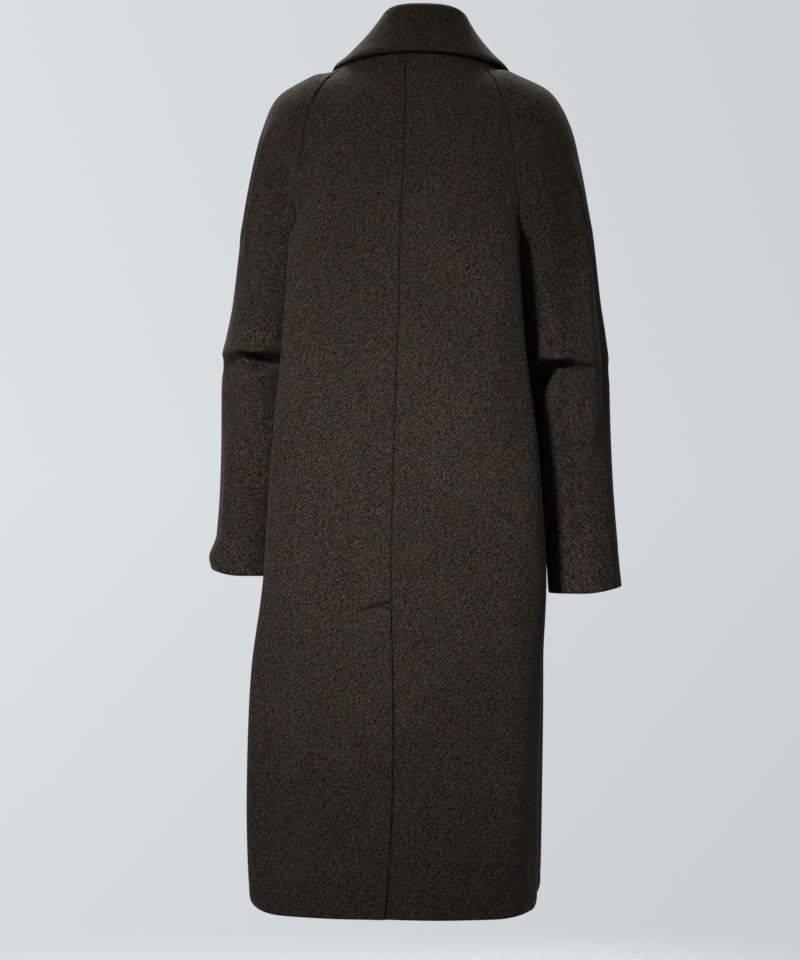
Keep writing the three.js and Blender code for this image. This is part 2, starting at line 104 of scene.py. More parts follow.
def table(columns, rows, turned_over=()):
    """A short table, smooth between its rows. turned_over columns are mirrored above its first row."""
    values = np.array(rows, float)
    mirror = [-1.0 if name in turned_over else 1.0 for name in columns]
    above = values[1] * mirror if turned_over else values[0]
    padded = np.vstack([above, values, values[-1]])
    last = len(values) - 1

    def at(v):
        v = np.asarray(v, float)
        row = np.clip(np.floor(v).astype(int), 0, last - 1)
        t = np.clip(v - row, 0, 1)[..., None]
        before, start, end, after = (padded[row + step] for step in range(4))
        smooth = hermite(start, end, (end - before) / 2, (after - start) / 2, t)
        return {name: smooth[..., column] for column, name in enumerate(columns)}

    return at


def named_rows(columns, rows):
    return [dict(zip(columns, values)) for values in rows]


# The sleeve's sections, from the neck seam to the cuff. ridge is the outermost line of the arm.
# tilt turns a section from level (0) to upright. over, under, back and front are its half sizes.
# seamBack and seamFront are the angles from the ridge to the two raglan seams.
sleeve_section = table(
    [
        "ridgeX", "ridgeZ", "middleY", "tilt", "over", "under",
        "back", "front", "seamBack", "seamFront", "slope", "lean",
    ],
    [
        [76, -24, -62, 45, 36, 36, 46, 46, 50, 50, 0.5, -12],
        [114, -55, -62, 56, 50, 50, 68, 62, 50, 50, 0.3, -8],
        [146, -64, -62, 60, 68, 68, 80, 72, 70, 70, 0.3, -6],
        [194, -86, -62, 50, 98, 98, 88, 80, 78, 72, 0.18, -6],
        [219, -129, -64, 28, 90, 90, 92, 86, 84, 80, 0, -7],
        [235, -190, -66, 14, 84, 76, 92, 88, 90, 92, 0, -6],
        [249, -262, -72, 6, 70, 66, 80, 80, 114, 122, 0, -5],
        [255, -304, -78, 4, 66, 63, 73, 76, 180, 180, 0, -5],
        [264, -380, -82, 2, 62, 60, 68, 72, 180, 180, 0, -4],
        [276, -455, -84, 0, 60, 58, 67, 70, 180, 180, 0, -2],
        [280, -560, -88, 0, 57, 55, 62, 64, 180, 180, 0, -2],
        [284, -655, -92, 0, 54, 53, 59, 60, 180, 180, 0, -2],
        [289, -725, -96, 0, 52, 51, 57, 57, 180, 180, 0, -2],
        [294, -790, -100, 0, 52, 51, 56, 57, 180, 180, 0, -2],
    ],
)

# The back's sections, from the neck seam to the hem. seam is the centre-back line, and fold is the
# soft edge behind the arm, where the cloth turns forward. Turns are 0 for outward and 90 for forward.
back_section = table(
    ["seamX", "seamY", "seamZ", "foldX", "foldY", "foldZ", "foldTurn", "edgeTurn", "lean"],
    [
        [-3, 0, 0, 36, -6, -4, 22, 62, -12],
        [-4, 16, -40, 62, 8, -46, 18, 50, -10],
        [-7, 34, -95, 80, 29, -92, 8, 28, -9],
        [-7, 45, -150, 92, 39, -142, 8, 17, -8],
        [-6, 50, -190, 104, 42, -182, 10, 14, -8],
        [-4, 53, -230, 126, 38, -222, 22, 24, -6],
        [-2, 54, -282, 158, 17, -277, 88, 98, -2],
        [-1, 54, -318, 160, 15, -316, 112, 70, -1],
        [0, 53, -384, 165, 12, -382, 112, 84, -1],
        [3, 52, -462, 171, 6, -460, 106, 94, 0],
        [8, 51, -600, 188, -4, -600, 102, 90, 0],
        [11, 54, -760, 199, -20, -760, 98, 90, 3],
        [7, 57, -900, 205, -32, -900, 94, 90, 15],
        [6, 61, -1080, 206, -40, -1078, 90, 90, 22],
        [13, 64, -1238, 203, -47, -1241, 90, 90, 23],
    ],
)

# The fronts' sections. fold is the soft edge in front of the arm, middle is the centre-front line,
# and wrapX is how far the front edge stops short of that line, or past it where it is below zero.
front_section = table(
    ["foldX", "foldY", "foldZ", "foldTurn", "edgeTurn", "middleY", "middleZ", "wrapX", "lean"],
    [
        [66, -110, -66, 105, 100, -140, -122, 60, -12],
        [88, -128, -98, 130, 125, -165, -152, 51, -10],
        [94, -160, -140, 145, 132, -192, -182, 40, -9],
        [104, -182, -176, 148, 135, -212, -214, 27, -8],
        [110, -194, -204, 148, 140, -224, -242, 16, -8],
        [124, -200, -236, 140, 130, -232, -268, 5, -6],
        [142, -186, -282, 112, 70, -238, -302, -7, -3],
        [144, -182, -318, 110, 102, -241, -332, -16, -2],
        [144, -184, -384, 114, 102, -243, -386, -34, -1],
        [151, -187, -462, 118, 96, -245, -463, -59, 0],
        [167, -190, -600, 120, 92, -247, -600, -92, 0],
        [180, -196, -760, 122, 90, -250, -760, -96, 3],
        [185, -202, -900, 124, 90, -253, -900, -98, 15],
        [187, -208, -1080, 125, 90, -258, -1078, -99, 22],
        [186, -214, -1234, 125, 90, -264, -1235, -100, 23],
    ],
)

# The side seams below the underarm; the rows above it only fill the table.
side_section = table(
    ["x", "y", "z", "lean"],
    [[126, -76, -313, -5]] * 8
    + [
        [124, -86, -382, -1],
        [136, -91, -460, 0],
        [151, -97, -600, 0],
        [167, -104, -760, 3],
        [182, -110, -900, 15],
        [189, -116, -1080, 22],
        [187, -122, -1232, 23],
    ],
)

# The collar's stations, from the centre back round to its front end, spaced evenly along the neck
# seam. fold is its top line, edge its outer edge, and bend the outside radius of the fold.
collar_station = table(
    ["foldX", "foldY", "foldZ", "foldLean", "edgeX", "edgeY", "edgeZ", "edgeLean", "bend"],
    [
        [0, 4, 37, -21, 0, 24, -31, -10, 8],
        [34, -4, 35, -22, 57, 18, -34, -12, 8],
        [53, -26, 27, -23, 100, -6, -41, -13, 8],
        [59, -60, 12, -19, 127, -58, -50, -13, 8],
        [61, -96, -20, -14, 129, -122, -83, -13, 7],
        [62, -127, -73, -12, 108, -160, -137, -12, 5.4],
    ],
    turned_over=("foldX", "edgeX"),
)

# Folds and creases. On a sleeve, across is the angle from the ridge, to the back above zero, and on
# a back it is how far round from the centre-back seam. On a front it is how far from the side seam,
# with the soft edge at 100. down is the height. A fold stands out by its rise, or sinks below zero,
# and sags by its droop.
FOLD_COLUMNS = ["side", "from_across", "from_down", "to_across", "to_down", "breadth", "rise", "droop"]
SLEEVE_FOLDS = [
    [LEFT, 12, -444, 112, -425, 11, 5, 10],
    [LEFT, 76, -425, 148, -443, 11, 5, 10],
    [LEFT, 16, -468, 112, -449, 8, -14, 0],
    [LEFT, 74, -449, 144, -466, 9, -18, 0],
    [LEFT, 82, -463, 108, -466, 11, -16, 0],
    [LEFT, 30, -502, 95, -494, 14, 3, 0],
    [LEFT, -45, -739, 45, -739, 18, 8, 0],
    [LEFT, 39, -130, 49, -310, 7, 5, 0],
    [LEFT, 78, -120, 90, -300, 14, -5, 0],
    [LEFT, 29, -140, 37, -290, 5, -4, 0],
    [LEFT, 74, -250, 62, -400, 14, 2.5, 0],
    [LEFT, 40, -330, 80, -410, 12, -2.5, 0],
    [LEFT, 22, -560, 34, -760, 16, -2.5, 0],
    [LEFT, 64, -540, 52, -720, 14, 2, 0],
    [LEFT, 30, -748, 80, -744, 12, 2.5, 0],
    [LEFT, -16, -470, -100, -462, 10, -7, 0],
    [LEFT, -20, -450, -110, -440, 14, 4, 0],
    [LEFT, -40, -160, -62, -330, 16, 3, 0],
    [LEFT, -70, -300, -58, -420, 14, -3, 0],
    [LEFT, -36, -540, -56, -740, 18, -3, 0],
    [LEFT, -90, -520, -84, -700, 15, 2.5, 0],
    [RIGHT, 48, -458, 118, -437, 11, 5, 10],
    [RIGHT, 84, -437, 158, -455, 11, 5, 10],
    [RIGHT, 50, -478, 118, -460, 8, -14, 0],
    [RIGHT, 84, -460, 166, -478, 10, -19, 0],
    [RIGHT, 116, -474, 168, -500, 15, -22, 0],
    [RIGHT, 26, -190, 46, -420, 8, 8, 0],
    [RIGHT, 46, -420, 60, -590, 9, 7, 0],
    [RIGHT, 8, -240, 26, -560, 10, -5, 0],
    [RIGHT, 52, -210, 74, -440, 15, -4, 0],
    [RIGHT, 98, -440, 86, -720, 13, -8, 0],
    [RIGHT, 76, -300, 84, -430, 13, -3, 0],
    [RIGHT, 96, -330, 104, -430, 10, 3, 0],
    [RIGHT, 34, -600, 30, -780, 15, 2.5, 0],
    [RIGHT, 58, -560, 60, -700, 12, -2, 0],
    [RIGHT, -14, -476, -95, -466, 10, -7, 0],
    [RIGHT, -20, -456, -105, -446, 14, 4, 0],
    [RIGHT, -44, -170, -60, -340, 16, 3, 0],
    [RIGHT, -76, -310, -62, -430, 13, -3, 0],
    [RIGHT, -40, -550, -50, -750, 17, -3, 0],
]
BACK_FOLDS = [
    [LEFT, 116, -330, 132, -640, 22, -4, 0],
    [LEFT, 62, -860, 74, -1240, 30, 4, 0],
    [LEFT, 126, -820, 134, -1240, 28, -5, 0],
    [LEFT, 180, -850, 184, -1240, 26, 4, 0],
    [LEFT, 40, -400, 90, -520, 22, 1.6, 0],
    [LEFT, 54, -460, 110, -600, 20, -1.8, 0],
    [LEFT, 150, -380, 158, -700, 16, 2.5, 0],
    [LEFT, 84, -130, 96, -290, 18, -2, 0],
    [LEFT, 30, -640, 44, -900, 20, -1.6, 0],
    [LEFT, 96, -700, 104, -1000, 22, 2.2, 0],
    [LEFT, 150, -960, 158, -1240, 16, -2.4, 0],
    [RIGHT, 122, -320, 140, -620, 22, -4, 0],
    [RIGHT, 82, -900, 92, -1240, 32, -4, 0],
    [RIGHT, 140, -830, 146, -1240, 28, 5, 0],
    [RIGHT, 34, -425, 62, -433, 12, -1.6, 0],
    [RIGHT, 60, -470, 120, -590, 20, 1.8, 0],
    [RIGHT, 88, -140, 98, -300, 18, -2, 0],
    [RIGHT, 154, -400, 160, -700, 16, 2.5, 0],
    [RIGHT, 46, -620, 52, -880, 24, 1.8, 0],
    [RIGHT, 112, -720, 108, -960, 20, -2, 0],
    [RIGHT, 176, -900, 180, -1240, 14, -2.6, 0],
]
FRONT_FOLDS = [
    [LEFT, 118, -340, 128, -620, 24, -4, 0],
    [LEFT, 60, -850, 56, -1240, 22, -5, 0],
    [LEFT, 128, -880, 136, -1240, 26, 4, 0],
    [LEFT, 80, -420, 96, -700, 18, 2.5, 0],
    [LEFT, 190, -520, 200, -900, 26, -2.5, 0],
    [LEFT, 236, -800, 240, -1240, 26, 2.5, 0],
    [LEFT, 150, -560, 230, -620, 16, -2, 0],
    [LEFT, 100, -200, 112, -330, 16, -2.5, 0],
    [RIGHT, 112, -330, 122, -600, 24, -4, 0],
    [RIGHT, 52, -880, 48, -1240, 22, 4, 0],
    [RIGHT, 118, -860, 124, -1240, 26, -4, 0],
    [RIGHT, 84, -430, 92, -720, 18, 2.5, 0],
    [RIGHT, 160, -760, 164, -1240, 22, 2.5, 0],
    [RIGHT, 102, -210, 110, -340, 16, -2.5, 0],
]


def fold_lift(folds, side, across, down):
    """How far the cloth stands out and sags at each place, from all the folds near it."""
    lift = np.zeros(np.broadcast(across, down).shape)
    sag = np.zeros_like(lift)
    for fold in named_rows(FOLD_COLUMNS, folds):
        if fold["side"] != side:
            continue
        run = (fold["to_across"] - fold["from_across"], fold["to_down"] - fold["from_down"])
        off_across = across - fold["from_across"]
        off_down = down - fold["from_down"]
        t = np.clip((off_across * run[0] + off_down * run[1]) / (run[0] ** 2 + run[1] ** 2), 0, 1)
        off = np.hypot(off_across - t * run[0], off_down - t * run[1])
        bump = (1 - 0.7 * (2 * t - 1) ** 4) * np.exp(-((off / fold["breadth"]) ** 2))
        lift += fold["rise"] * bump
        sag += fold["droop"] * bump
    return lift, sag


def place(x, y, z):
    return np.stack(np.broadcast_arrays(x, y, z), -1).astype(float)


def turned(side, degrees):
    """A direction in the level plane, on one side of the coat."""
    angle = np.radians(degrees)
    return side * np.cos(angle), -np.sin(angle)


def bend(start, end, leaving, arriving, t):
    """A level-bending curve between two points, leaving and arriving along the given directions."""
    reach = np.hypot(end[..., 0] - start[..., 0], end[..., 1] - start[..., 1])
    return place(
        hermite(start[..., 0], end[..., 0], leaving[0] * reach, arriving[0] * reach, t),
        hermite(start[..., 1], end[..., 1], leaving[1] * reach, arriving[1] * reach, t),
        start[..., 2] + (end[..., 2] - start[..., 2]) * t,
    )


def sleeve_point(side, u, v):
    """The sleeve's outer face. u runs from the back seam over the ridge to the front seam."""
    row = sleeve_section(v)
    seam_back = np.minimum(row["seamBack"], 180)
    seam_front = np.minimum(row["seamFront"], 180)
    degrees = seam_back + (-seam_front - seam_back) * u
    angle = np.radians(degrees)
    tilt = np.radians(row["tilt"])
    across = np.cos(angle)
    along = np.sin(angle)
    out = across * np.where(across > 0, row["over"], row["under"]) - row["over"]
    level = along * np.where(along > 0, row["back"], row["front"])
    rise = LEFT_CUFF_RISE * np.maximum(0, (v - ELBOW) / (CUFF - ELBOW)) if side == LEFT else 0
    near_cuff = np.clip(v - CUFF + 1, 0, 1)
    rise = rise + CUFF_ROUND * np.maximum(0, across) ** 2 * near_cuff**2
    height = row["ridgeZ"] + out * np.sin(tilt) + level * row["slope"] + rise
    lift, sag = fold_lift(SLEEVE_FOLDS, side, degrees * DEGREE_LENGTH, height)
    return place(
        row["lean"] + side * (row["ridgeX"] + (out + lift * across) * np.cos(tilt)),
        row["middleY"] + level + lift * along,
        height + lift * across * np.sin(tilt) - sag,
    )


def seam_point(side, u, v):
    """The line that the back and front of one side share: the raglan seam, then the side seam."""
    row = side_section(v)
    seam = place(row["lean"] + side * row["x"], row["y"], row["z"])
    raglan = sleeve_point(side, u, np.minimum(v, UNDERARM))
    share = np.clip(v - UNDERARM, 0, 1)[..., None]
    return raglan + (seam - raglan) * share


def lifted(points, lean, u, lift):
    """A place on the body moved out by a fold, and held where a seam is."""
    held = np.minimum(1, np.minimum(u, 1 - u) / SEAM_HOLD)
    way = place(points[..., 0] - lean, points[..., 1] - BODY_MIDDLE_Y, 0)
    way /= np.linalg.norm(way, axis=-1, keepdims=True)
    return points + way * (lift * held)[..., None]


def back_point(side, u, v):
    """The back's outer face. u runs from the centre-back seam round to the raglan or side seam."""
    row = back_section(v)
    fold = place(row["lean"] + side * row["foldX"], row["foldY"], row["foldZ"])
    fold_way = turned(side, row["foldTurn"])
    middle = place(row["seamX"], row["seamY"], row["seamZ"])
    inner = bend(middle, fold, turned(side, 0), fold_way, u / BACK_FOLD_SHARE)
    t = (u - BACK_FOLD_SHARE) / (1 - BACK_FOLD_SHARE)
    outer = bend(fold, seam_point(side, 0, v), fold_way, turned(side, row["edgeTurn"]), t)
    points = np.where((u < BACK_FOLD_SHARE)[..., None], inner, outer)
    across = u / BACK_FOLD_SHARE * row["foldX"]
    return lifted(points, row["lean"], u, fold_lift(BACK_FOLDS, side, across, points[..., 2])[0])


def front_point(side, u, v):
    """The front's outer face. u runs from the raglan or side seam to the front edge, past the middle."""
    row = front_section(v)
    fold = place(row["lean"] + side * row["foldX"], row["foldY"], row["foldZ"])
    fold_way = turned(side, row["foldTurn"])
    seam_way = turned(side, row["edgeTurn"])
    outer = bend(seam_point(side, 1, v), fold, seam_way, fold_way, u / FRONT_FOLD_SHARE)
    middle = place(row["lean"], row["middleY"], row["middleZ"])

    def panel(t):
        points = bend(fold, middle, fold_way, turned(side, 180), np.where(t > 1, 2 - t, t))
        points[..., 0] = np.where(t > 1, 2 * row["lean"] - points[..., 0], points[..., 0])
        return points

    low = np.zeros_like(v)
    high = np.full_like(v, 2.0)
    for _ in range(24):
        half = (low + high) / 2
        short = side * (panel(half)[..., 0] - row["lean"]) > row["wrapX"]
        low = np.where(short, half, low)
        high = np.where(short, high, half)
    t = high * (u - FRONT_FOLD_SHARE) / (1 - FRONT_FOLD_SHARE)
    inner = panel(np.maximum(t, 0))
    if side == RIGHT:
        share = np.clip(t / 0.5, 0, 1)
        inner[..., 1] += WRAP_TUCK * share * share * (3 - 2 * share)
    points = np.where((u < FRONT_FOLD_SHARE)[..., None], outer, inner)
    across = u / FRONT_FOLD_SHARE * FRONT_EDGE_ACROSS
    return lifted(points, row["lean"], u, fold_lift(FRONT_FOLDS, side, across, points[..., 2])[0])


def facing(points, outward):
    """The way a grid of places faces at each one, turned to agree with the way from a line inside it."""
    across = np.gradient(points, axis=1)
    down = np.gradient(points, axis=0)
    normal = np.cross(across, down)
    length = np.linalg.norm(normal, axis=-1, keepdims=True)
    normal /= np.maximum(length, 1e-9)
    return normal * (1 if np.sum(normal * outward) > 0 else -1)


def from_middle(points):
    """The way from a line down the inside of a grid, roughly."""
    inside = points.mean(axis=1, keepdims=True)
    body = place(0, BODY_MIDDLE_Y, 0)
    spread_x = np.ptp(points[..., 0], axis=1).mean()
    centre = inside if spread_x < BODY_BREADTH_FROM else np.where([True, True, False], body, inside)
    return points - centre


def close_at_ends(count, share):
    """Numbers from 0 to 1, closer together at both ends."""
    t = np.linspace(0, 1, count + 1)
    return t - share * np.sin(2 * math.pi * t) / (2 * math.pi)


def lengths(points, axis):
    """How far each place is along its row or column, measured on the cloth."""
    steps = np.linalg.norm(np.diff(points, axis=axis), axis=-1)
    start = np.zeros_like(np.take(steps, [0], axis=axis))
    return np.concatenate([start, np.cumsum(steps, axis=axis)], axis=axis)


def seam_dip(distance, depth=2.0, width=1.5, swell=0.28):
    """How a pressed seam dips at its line, with the turned-in allowance swelling beside it."""
    dip = -depth * np.exp(-((distance / width) ** 2))
    return dip + swell * np.exp(-(((distance - 7.5) / 4.0) ** 2))


def from_underarm(v):
    """0 near the underarm, where the sleeve and the body face each other at their seam, or else 1."""
    return 1 - np.exp(-(((v - UNDERARM + UNDERARM_ABOVE) / UNDERARM_REACH) ** 4))


def edge_roll(distance, drop=0.9, width=1.6):
    """How a folded edge rounds off."""
    return -drop * np.exp(-((distance / width) ** 2))


def hem_mark(distance, turn_up):
    """The faint line of a turned-up hem's inner edge, and the edge's own roll."""
    line = -0.35 * np.exp(-(((distance - turn_up) / 3.5) ** 2))
    return line + 0.35 * np.exp(-((distance / 22.0) ** 4)) + edge_roll(distance)


def cloth_waves(across, down, seed, height=0.8):
    """Slow unevenness in hanging cloth: a few long waves of different headings and lengths."""
    draw = np.random.default_rng(seed)
    total = np.zeros(np.broadcast(across, down).shape)
    for _ in range(9):
        length = draw.uniform(55, 170)
        heading = draw.uniform(-0.6, 0.6)
        start = draw.uniform(0, 2 * math.pi)
        run = across * math.cos(heading) + down * math.sin(heading) * 0.45
        total += draw.uniform(0.4, 1.0) * np.sin(2 * math.pi * run / length + start)
    return total * height / 3


EDGE_ROUNDING = 0.28
EDGE_ANGLE = 55


def to_object(name, made, material):
    """A finished mesh as an object of its own."""
    mesh = bpy.data.meshes.new(name)
    made.to_mesh(mesh)
    made.free()
    mesh.materials.append(material)
    piece = bpy.data.objects.new(name, mesh)
    bpy.context.collection.objects.link(piece)
    return piece


def cloth_piece(name, points, way, uv, wall, node, material):
    """A thin shell on a grid of places in millimetres, which stands for a CAD node."""
    rows, columns = points.shape[:2]
    cloth = bmesh.new()
    bmesh.ops.create_grid(cloth, x_segments=columns - 1, y_segments=rows - 1, size=1, calc_uvs=True)
    uv_layer = cloth.loops.layers.uv.verify()
    where = {}
    for vertex in cloth.verts:
        column = round((vertex.co.x + 1) / 2 * (columns - 1))
        row = round((1 - vertex.co.y) / 2 * (rows - 1))
        where[vertex.index] = (row, column)
    cloth.verts.index_update()
    for vertex in cloth.verts:
        vertex.co = points[where[vertex.index]] * MM
    for face in cloth.faces:
        for loop in face.loops:
            loop[uv_layer].uv = uv[where[loop.vert.index]] * MM
    cloth.normal_update()
    facing_out = sum(v.normal.dot(Vector(way[where[v.index]])) for v in cloth.verts)
    if facing_out < 0:
        bmesh.ops.reverse_faces(cloth, faces=cloth.faces)
    for face in cloth.faces:
        face.smooth = True
    piece = to_object(name, cloth, material)
    shell = piece.modifiers.new("cloth thickness", "SOLIDIFY")
    shell.thickness = wall * MM
    shell.offset = -1
    shell.use_even_offset = False
    rounding = piece.modifiers.new("soft edge", "BEVEL")
    rounding.width = EDGE_ROUNDING * wall * MM
    rounding.segments = 2
    rounding.limit_method = "ANGLE"
    rounding.angle_limit = math.radians(EDGE_ANGLE)
    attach(piece, "root")
    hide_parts(node)
    return piece


def grid(us, vs):
    return np.meshgrid(us, vs)


def cloth_uv(across, down, side):
    """The place on the flat cloth: to the right as seen from behind, and up."""
    return np.stack(np.broadcast_arrays(-side * across, -down), -1)


# Materials.

def feed(tree, socket, value):
    """Gives a socket its value, or links it to another node's socket."""
    if isinstance(value, bpy.types.NodeSocket):
        tree.links.new(value, socket)
    else:
        socket.default_value = value


def empty_tree(owner):
    """The emptied node tree of a material or a world, and a function that adds a node to it."""
    owner.use_nodes = True
    tree = owner.node_tree
    tree.nodes.clear()

    def add(kind, settings=None, **inputs):
        node = tree.nodes.new(kind)
        for name, value in (settings or {}).items():
            setattr(node, name, value)
        for name, value in inputs.items():
            feed(tree, node.inputs[name.replace("_", " ")], value)
        return node

    return tree, add


def map_range(add, value, low, high, to_low, to_high, curve="LINEAR"):
    node = add("ShaderNodeMapRange", {"interpolation_type": curve}, Value=value)
    for name, end in (("From Min", low), ("From Max", high), ("To Min", to_low), ("To Max", to_high)):
        node.inputs[name].default_value = end
    return node.outputs["Result"]


def new_material(name):
    material = bpy.data.materials.new(name)
    tree, add = empty_tree(material)
    shader = add("ShaderNodeBsdfPrincipled")
    add("ShaderNodeOutputMaterial", Surface=shader.outputs["BSDF"])
    return material, tree, shader, add


# Slow clouds of tint. on says whether a cloud is turned with the wales or lies straight on the cloth.
CLOUD_COLUMNS = ["on", "scale", "detail", "roughness", "low", "high", "strength", "tint"]
CLOUDS = [
    ["wales", 38.0, 3.0, 0.7, 0.46, 0.66, 0.62, (1.17, 0.95, 0.84)],
    ["cloth", 30.0, 3.0, 0.7, 0.47, 0.68, 0.80, (0.97, 1.07, 0.80)],
    ["cloth", 19.0, 2.0, 0.6, 0.48, 0.70, 0.60, (0.90, 0.98, 1.14)],
]

# Flecks of other fibres: rust, olive and pale grey. stretch draws them out along the wale.
FLECK_COLUMNS = ["scale", "detail", "stretch", "low", "high", "strength", "colour"]
FLECKS = [
    [210.0, 2.0, 0.50, 0.660, 0.76, 0.42, (0.042, 0.018, 0.009)],
    [180.0, 2.0, 0.50, 0.665, 0.77, 0.50, (0.030, 0.025, 0.010)],
    [420.0, 1.0, 0.45, 0.700, 0.80, 0.60, (0.066, 0.058, 0.047)],
]


def coating(name, dark, light, wale_turn, seed, painted_shade_scale=1.0):
    """Heavy melange twill: slanted wales of short fibres, rust, olive and grey flecks, and a soft nap. A
    copy can be darkened all over to paint shade.
    """
    material, tree, shader, add = new_material(name)
    link = tree.links.new

    def math_node(operation, first, second):
        node = add("ShaderNodeMath", {"operation": operation})
        for socket, value in zip(node.inputs, (first, second)):
            feed(tree, socket, value)
        return node.outputs["Value"]

    def mix(factor, first, second, blend="MIX"):
        node = add("ShaderNodeMix", {"data_type": "RGBA", "blend_type": blend})
        sockets = {"Factor": factor, "A": first, "B": second}
        for socket in node.inputs:
            fits = socket.type == "RGBA" or (socket.name == "Factor" and socket.type == "VALUE")
            if fits and socket.name in sockets:
                feed(tree, socket, sockets[socket.name])
        return next(s for s in node.outputs if s.type == "RGBA")

    cloth_place = add("ShaderNodeUVMap").outputs["UV"]
    turn = add("ShaderNodeMapping", Vector=cloth_place)
    turn.inputs["Rotation"].default_value = (0, 0, math.radians(wale_turn))
    turn.inputs["Location"].default_value = (0.37 * seed, 0.21 * seed, 0.11 * seed)
    along_wale = turn.outputs["Vector"]

    def noise(vector, scale, detail=2.0, roughness=0.6, stretch=None):
        if stretch:
            squeezed = add("ShaderNodeMapping", Vector=vector)
            squeezed.inputs["Scale"].default_value = stretch
            vector = squeezed.outputs["Vector"]
        node = add("ShaderNodeTexNoise", Vector=vector, Scale=scale, Detail=detail, Roughness=roughness)
        return node.outputs["Fac"]

    bands = {"wave_type": "BANDS", "bands_direction": "Y"}
    wale = add("ShaderNodeTexWave", bands, Vector=along_wale, Scale=76.0, Distortion=4.0, Detail=3.0)
    wale.inputs["Detail Scale"].default_value = 4.6
    breaks = map_range(add, noise(along_wale, 290.0, 2.0, 0.6), 0.38, 0.62, 0.0, 1.0)
    wales = math_node("MULTIPLY", math_node("MULTIPLY", wale.outputs["Fac"], breaks), 0.34)
    fibres = noise(along_wale, 660.0, 2.0, 0.7, stretch=(0.60, 1.0, 1.0))
    crumbs = noise(along_wale, 900.0, 1.0, 0.5)
    height = math_node("ADD", wales, math_node("MULTIPLY", fibres, 0.9))
    height = math_node("ADD", height, math_node("MULTIPLY", crumbs, 0.8))
    lightness = map_range(add, height, 0.79, 1.17, 0.0, 1.0)
    base = mix(lightness, (*dark, 1), (*light, 1))

    lies_on = {"wales": along_wale, "cloth": cloth_place}
    for cloud in named_rows(CLOUD_COLUMNS, CLOUDS):
        clouds = noise(lies_on[cloud["on"]], cloud["scale"], cloud["detail"], cloud["roughness"])
        share = map_range(add, clouds, cloud["low"], cloud["high"], 0.0, cloud["strength"])
        base = mix(share, base, (*cloud["tint"], 1), "MULTIPLY")
    for fleck in named_rows(FLECK_COLUMNS, FLECKS):
        flecks = noise(along_wale, fleck["scale"], fleck["detail"], 0.5, (fleck["stretch"], 1.0, 1.0))
        share = map_range(add, flecks, fleck["low"], fleck["high"], 0.0, fleck["strength"])
        base = mix(share, base, (*fleck["colour"], 1))
    # Slow random tone over the cloth, scaled down in a darkened copy to paint shade.
    wear_and_painted_shade = noise(cloth_place, 7.0, 2.0, 0.5)
    wear_and_painted_shade = map_range(add, wear_and_painted_shade, 0.3, 0.7, 0.90 * painted_shade_scale, 1.10 * painted_shade_scale)
    shade = add("ShaderNodeVectorMath", {"operation": "SCALE"})
    link(base, shade.inputs[0])
    link(wear_and_painted_shade, shade.inputs["Scale"])
    link(shade.outputs["Vector"], shader.inputs["Base Color"])
    link(map_range(add, fibres, 0.3, 0.7, 0.98, 0.86), shader.inputs["Roughness"])
    bump = add("ShaderNodeBump", Height=height)
    bump.inputs["Strength"].default_value = 0.55
    bump.inputs["Distance"].default_value = 0.0009
    link(bump.outputs["Normal"], shader.inputs["Normal"])
    shader.inputs["Specular IOR Level"].default_value = 0.07
    shader.inputs["Sheen Weight"].default_value = 0.05
    shader.inputs["Sheen Roughness"].default_value = 0.32
    shader.inputs["Sheen Tint"].default_value = (0.80, 0.69, 0.54, 1)
    return material


DARK = (0.0010, 0.0007, 0.0005)
LIGHT = (0.0272, 0.0206, 0.0160)
back_cloth = coating("melange twill, backs", DARK, LIGHT, -50, 1)
front_cloth = coating("melange twill, fronts", DARK, LIGHT, -50, 2)
left_sleeve_cloth = coating("melange twill, left sleeve", DARK, LIGHT, 52, 3)
right_sleeve_cloth = coating("melange twill, right sleeve", DARK, LIGHT, 50, 4)
# The collar's copy is darkened to 0.92 to paint the shade that a head above it would cast.
collar_cloth = coating("melange twill, collar, painted shade", DARK, LIGHT, 62, 5, painted_shade_scale=0.92)
lapel_cloth = coating("melange twill, lapels", DARK, LIGHT, 48, 6)


def thread(name):
    """Matt sewing thread, with its ply as fine bands."""
    material, tree, shader, add = new_material(name)
    seat = add("ShaderNodeTexCoord").outputs["Object"]
    bands = {"wave_type": "BANDS", "bands_direction": "DIAGONAL"}
    ply = add("ShaderNodeTexWave", bands, Vector=seat, Scale=900.0)
    colour = add("ShaderNodeValToRGB", Fac=ply.outputs["Fac"])
    colour.color_ramp.elements[0].color = (0.003, 0.0025, 0.002, 1)
    colour.color_ramp.elements[1].color = (0.009, 0.0075, 0.006, 1)
    tree.links.new(colour.outputs["Color"], shader.inputs["Base Color"])
    shader.inputs["Roughness"].default_value = 0.7
    return material


seam_thread = thread("brown-black thread")

# The backs, the fronts and the sleeves. A CLOSENESS is how much nearer their lines are at the edges.
BACK_COLUMNS = 96
FRONT_COLUMNS = 84
SLEEVE_COLUMNS = 120
BODY_ROWS = 330
SLEEVE_ROWS = 280
BACK_CLOSENESS = 0.78
FRONT_CLOSENESS = 0.7
SLEEVE_CLOSENESS = 0.72
ROW_CLOSENESS = 0.55
CREASE_ROW_SHARE = 0.10
CREASE_ROW_REACH = 0.42
VENT_ROW_SHARE = 0.08
VENT_ROW_REACH = 0.12

# The seams. An allowance runs on under the next piece, and at the underarm it presses against it.
MIDDLE_SEAM_DEPTH = 3.0
MIDDLE_SEAM_WIDTH = 1.7
SEAM_OVERLAP = 0.25
ALLOWANCE = 4.5
ALLOWANCE_DROP = 2.6
UNDERARM_SHARE = 0.4
UNDERARM_PRESS = 1.5
UNDERARM_ABOVE = 0.9
UNDERARM_REACH = 1.3
TOPSTITCH_OFF = 9.5

